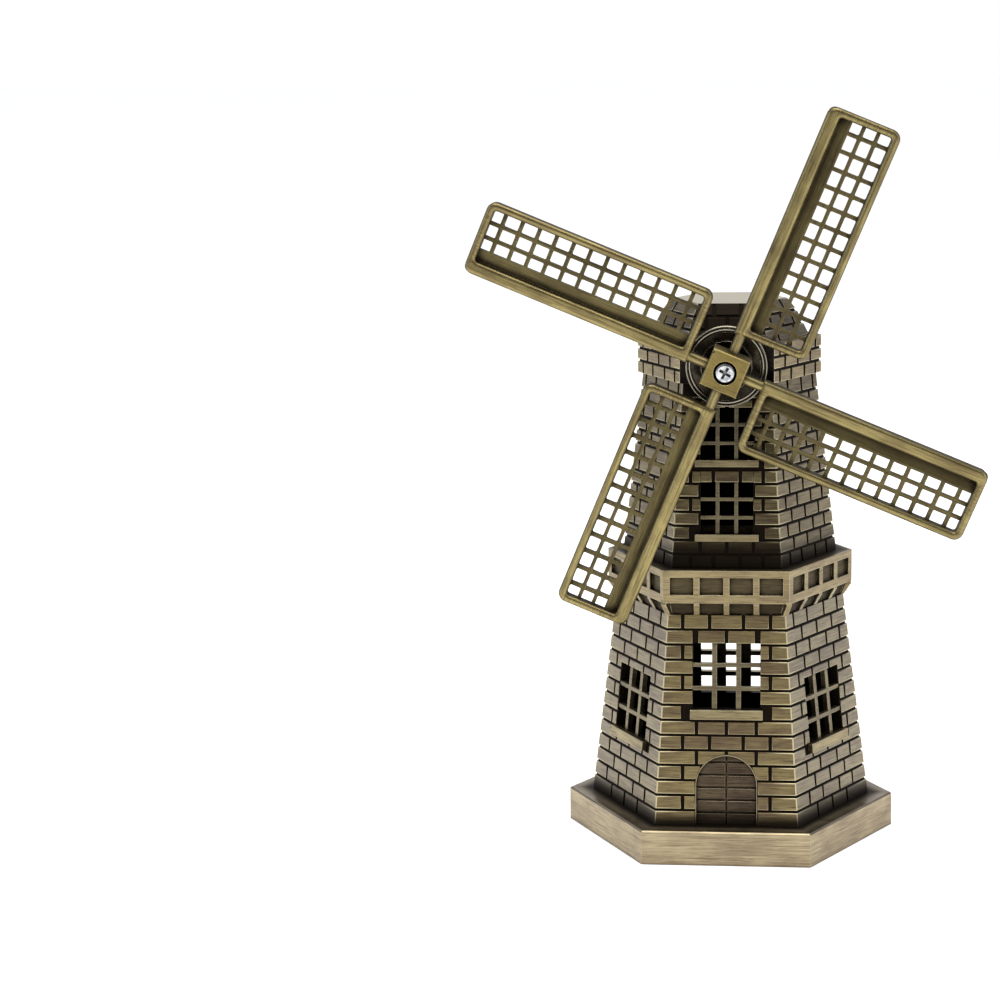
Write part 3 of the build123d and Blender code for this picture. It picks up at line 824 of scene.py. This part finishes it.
def slab(build, k, r, z0, z1, holes, front=RELIEF, back=WALL, x_left=None, x_right=None):
    """The wall behind the bricks, with openings (left, right, foot, head). It runs from one mitre
    to the other, or to x_left or x_right."""
    xs = [x_left] + sorted({x for h in holes for x in h[:2]}) + [x_right]
    zs = sorted({z0, z1} | {z for h in holes for z in h[2:4]})
    last = len(xs) - 1
    ids = {}

    def across(i, z, depth):
        if i == 0 and x_left is None:
            return -(r(z) - depth / C30) / 2
        if i == last and x_right is None:
            return (r(z) - depth / C30) / 2
        return xs[i]

    def filled(i, j):
        if not (0 <= i < last and 0 <= j < len(zs) - 1):
            return False
        x0 = -math.inf if xs[i] is None else xs[i]
        x1 = math.inf if xs[i + 1] is None else xs[i + 1]
        for left, right, foot, head in holes:
            within_x = x0 >= left - TOUCH and x1 <= right + TOUCH
            if within_x and zs[j] >= foot - TOUCH and zs[j + 1] <= head + TOUCH:
                return False
        return True

    for depth, tone in ((front, WALL_TONE), (back, INSIDE_SHADE_TONE)):
        for i in range(len(xs)):
            for j, z in enumerate(zs):
                ids[i, j, depth] = build.add([on_face(k, r, across(i, z, depth), z, depth)], tone)[0]
    for i in range(last):
        for j in range(len(zs) - 1):
            if not filled(i, j):
                continue
            a, b, c, d = (i, j), (i + 1, j), (i + 1, j + 1), (i, j + 1)
            build.faces.append(tuple(ids[(*p, front)] for p in (a, b, c, d)))
            build.faces.append(tuple(ids[(*p, back)] for p in (d, c, b, a)))
            rims = (((i - 1, j), d, a), ((i + 1, j), b, c), ((i, j - 1), a, b), ((i, j + 1), c, d))
            for beside, p, q in rims:
                if not filled(*beside):
                    build.faces.append((ids[(*p, front)], ids[(*p, back)], ids[(*q, back)], ids[(*q, front)]))


# ================================ lower storey ===================================================
LOWER_R = radius(LOWER)
FRONT_WIN = window(FRONT_WINDOW_Z, FRONT_SILL_FOOT, **LOWER_WINDOW)
SIDE_WIN = window(SIDE_WINDOW_Z, SIDE_SILL_FOOT, **LOWER_WINDOW)


def arch_backing(build, top):
    """The wall over the doorway, in upright blocks that follow its arch."""
    for i in range(ARCH_BLOCKS):
        x0, x1 = (-DOOR_R * math.cos(math.pi * n / ARCH_BLOCKS) for n in (i, i + 1))
        za, zb = (DOOR_SPRING + math.sqrt(max(DOOR_R**2 - x * x, 0)) for x in (x0, x1))
        corners = ((x0, za), (x1, zb), (x1, top), (x0, top))
        block = [[on_face(0, LOWER_R, x, z, depth) for x, z in corners] for depth in (WALL, RELIEF)]
        build.stack(block, [INSIDE_SHADE_TONE, WALL_TONE], floor=True)


def door_rim(build):
    """The thin raised rim round the doorway: its section carried up, over and down."""
    foot = LOWER["z0"] + END_GAP
    angles = [math.pi * i / RIM_STEPS for i in range(RIM_STEPS + 1)]
    arc = [(-DOOR_R * math.cos(a), DOOR_SPRING + DOOR_R * math.sin(a)) for a in angles]
    path = [(-DOOR_R, foot)] + arc + [(DOOR_R, foot)]
    centres = [(0.0, foot)] + [(0.0, DOOR_SPRING)] * len(arc) + [(0.0, foot)]
    sections = []
    for (x, z), (cx, cz) in zip(path, centres):
        length = math.hypot(x - cx, z - cz)
        ux = (x - cx) / length
        uz = (z - cz) / length
        section = []
        for out, depth, tone in RIM_SECTION:
            section += build.add([on_face(0, LOWER_R, x + ux * out, z + uz * out, depth)], tone)
        sections.append(section)
    for p, q in zip(sections, sections[1:]):
        for i in range(len(p) - 1):
            build.faces.append((p[i], p[i + 1], q[i + 1], q[i]))
        build.faces.append((p[-1], p[0], q[0], q[-1]))
    build.faces.append(tuple(reversed(sections[0])))
    build.faces.append(tuple(sections[-1]))


for k, face in enumerate(FACES):
    b = Build()
    is_front = face == "front"
    windows = [FRONT_WIN if is_front else SIDE_WIN] if face in WINDOWED else []
    holes = [opening(win) for win in windows]
    if is_front:
        top = DOOR_SPRING + DOOR_R + ARCH_HEAD
        slab(b, k, LOWER_R, top, LOWER["z1"], holes)
        slab(b, k, LOWER_R, LOWER["z0"], top, [], x_right=-DOOR_R)
        slab(b, k, LOWER_R, LOWER["z0"], top, [], x_left=DOOR_R)
        arch_backing(b, top)
        door_rim(b)
        storey(b, k, LOWER, windows, (DOOR_SPRING, DOOR_R + RIM + RIM_GAP))
    else:
        slab(b, k, LOWER_R, LOWER["z0"], LOWER["z1"], holes)
        storey(b, k, LOWER, windows)
    b.make(f"brick_wall_lower_{face}", M_LOWER if is_front else M_LOWER_SIDE, "tower", f"lower_wall_{face}")

# ================================ upper storey ===================================================
for k, face in enumerate(FACES):
    b = Build()
    is_front = face == "front"
    windows = []
    if is_front:
        windows = [window(z, z - UPPER_SILL_DROP, **UPPER_WINDOW) for z in UPPER_WINDOW_Z]
    slab(b, k, radius(UPPER), UPPER["z0"], UPPER["z1"], [opening(win) for win in windows])
    storey(b, k, UPPER, windows)
    b.make(f"brick_wall_upper_{face}", M_UPPER if is_front else M_UPPER_SIDE, "tower", f"upper_wall_{face}")


# ================================ cap: brick band, ledge and dome ================================
def lay_row(build, k, s, joints):
    """One row of bricks round a face of the cap."""
    r = radius(s)
    for x0, x1 in spans(joints):
        brick(build, k, r, *outline(r, x0, x1, s["z0"] + s["low"], s["z1"] - s["high"]))


b = Build()
band = dict(z0=BAND[0], z1=BAND[1], r0=BAND_R, r1=BAND_R)
band_pitch = (BAND[1] - BAND[0]) / 3
band_wall = (BAND[0], BAND[1] - LEDGE_T)
for k in range(6):
    if k:
        slab(b, k, radius(band), *band_wall, [])
    else:
        slab(b, k, radius(band), *band_wall, [(-PLATE_HALF, PLATE_HALF, *band_wall)], front=PLATE_T)
    for row in range(3):
        gaps = dict(low=JOINT / 2 if row else END_GAP, high=JOINT / 2 if row < 2 else END_GAP)
        if k:
            z0 = BAND[0] + row * band_pitch
            course = dict(z0=z0, z1=z0 + band_pitch, r0=BAND_R, r1=BAND_R, **gaps)
            lay_row(b, k, course, BAND_JOINTS[row % 2])
        (r0, z0), (r1, z1) = DOME[row], DOME[row + 1]
        course = dict(z0=z0, z1=z1, r0=r0, r1=r1, **gaps)
        slab(b, k, radius(course), z0, z1 - (DECK_T if row == 2 else 0.0), [])
        lay_row(b, k, course, DOME_JOINTS[row])
hex_ring(b, LEDGE_SECTION)
hex_ring(b, COLLAR_SECTION)
b.stack([hexagon(r, z) for r, z, _ in DECK_SECTION], [tone for _, _, tone in DECK_SECTION], floor=True)
b.make("brick_cap", M_CAP, "tower", "cap")

# ================================ CAD pieces that keep their shape ===============================
LOOKS = {
    "base_plate": M_BASE,
    "base_pad": M_FOAM,
    "balcony": M_BALCONY,
    "door_leaf": M_DOOR,
    "cap_front_plate": M_BLACK,
    "windshaft_boss": M_DISC,
    "pivot_sleeve": M_DISC,
    "pivot_nut": M_NICKEL,
    "hub_screw": M_NICKEL,
    "hub_block": M_HUB,
    "sail_1": M_SAIL[0],
    "sail_2": M_SAIL[1],
    "sail_3": M_SAIL[0],
    "sail_4": M_SAIL[1],
}
for name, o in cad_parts.items():
    o.data.materials.clear()
    o.data.materials.append(LOOKS.get(name, M_SILL if "sill" in name else M_TRIM))

# ================================ studio =========================================================
FLOOR_HALF = 6  # metres
FLOOR_GREY = 0.93
# colours of the surroundings, and where in a ray's direction each begins and is complete
NEAR_SIDE = (0.24, 0.235, 0.23)
FAR_SIDE = (0.85, 0.87, 0.95)
FAR_FROM = (-0.8, 0.2)
LEFT_AND_RIGHT = (0.34, 0.37, 0.52)
SIDES_FROM = (0.3, 0.9)
OVERHEAD = (1.5, 1.5, 1.5)
OVERHEAD_FROM = (0.74, 0.97)
DIFFUSE = (1.1, 1.1, 1.1)  # all that lights the surfaces evenly
BACKDROP = (1.0, 1.0, 1.0)  # all that the picture shows behind the object

floor_mesh = bpy.data.meshes.new("studio_floor")
floor_corners = [(x * FLOOR_HALF, y * FLOOR_HALF, 0) for x, y in ((-1, -1), (1, -1), (1, 1), (-1, 1))]
floor_mesh.from_pydata(floor_corners, [], [(0, 1, 2, 3)])
floor_material, _, floor_bsdf = new_material("pale_floor")
floor_bsdf.inputs["Base Color"].default_value = (FLOOR_GREY, FLOOR_GREY, FLOOR_GREY, 1)
floor_bsdf.inputs["Roughness"].default_value = 0.8
floor_bsdf.inputs["Specular IOR Level"].default_value = 0.0
floor_mesh.materials.append(floor_material)
floor = bpy.data.objects.new("studio_floor", floor_mesh)
bpy.context.scene.collection.objects.link(floor)

world = bpy.data.worlds.new("studio")
bpy.context.scene.world = world
world.use_nodes = True
wt = world.node_tree
way_x, way_y, way_z = split(wt, wt.nodes.new("ShaderNodeTexCoord").outputs["Generated"])
ray = wt.nodes.new("ShaderNodeLightPath").outputs
env = blend_colour(wt, remap(wt, way_y, *FAR_FROM), NEAR_SIDE, FAR_SIDE)
env = blend_colour(wt, remap(wt, absolute(wt, way_x), *SIDES_FROM), env, LEFT_AND_RIGHT)
env = blend_colour(wt, remap(wt, way_z, *OVERHEAD_FROM), env, OVERHEAD)
env = blend_colour(wt, ray["Is Diffuse Ray"], env, DIFFUSE)
env = blend_colour(wt, ray["Is Camera Ray"], env, BACKDROP)
wt.links.new(env, wt.nodes["Background"].inputs["Color"])
wt.nodes["Background"].inputs["Strength"].default_value = 1.0

AIM = Vector((0, 0, 0.09))
COOL = (0.86, 0.91, 1.0)


def softbox(name, place, size, watts, colour=(1, 1, 1)):
    """A lamp aimed at the middle of the tower. place and size in metres."""
    light = bpy.data.lights.new(name, "AREA")
    light.shape = "RECTANGLE"
    light.size, light.size_y = size
    light.energy = watts
    light.color = colour
    o = bpy.data.objects.new(name, light)
    bpy.context.scene.collection.objects.link(o)
    o.location = place
    o.rotation_euler = (AIM - Vector(place)).to_track_quat("-Z", "Y").to_euler()


softbox("top_box", (0.0, -0.15, 1.1), (0.9, 0.9), 9.0)
softbox("left_box", (-0.9, -0.35, 0.45), (0.5, 0.8), 2.6, COOL)
softbox("right_box", (0.9, -0.3, 0.45), (0.5, 0.8), 2.6, COOL)

# ================================ camera =========================================================
CAMERA = Vector((17.97, -625.3, 203.2)) * MM
YAW = 6.791  # degrees, like the next two
PITCH = 10.925
ROLL = -1.048
LENS = 93.4  # millimetres, on a sensor 36 mm wide
cam_data = bpy.data.cameras.new("camera")
cam_data.lens = LENS
cam_data.sensor_width = 36.0
cam_data.clip_start = 0.01
camera = bpy.data.objects.new("camera", cam_data)
bpy.context.scene.collection.objects.link(camera)
yaw = Matrix.Rotation(math.radians(YAW), 4, "Z")
pitch = Matrix.Rotation(math.radians(90 - PITCH), 4, "X")
roll = Matrix.Rotation(math.radians(ROLL), 4, "Z")
camera.matrix_world = Matrix.Translation(CAMERA) @ (yaw @ pitch @ roll)
bpy.context.scene.camera = camera
bpy.context.scene.view_settings.view_transform = "Standard"
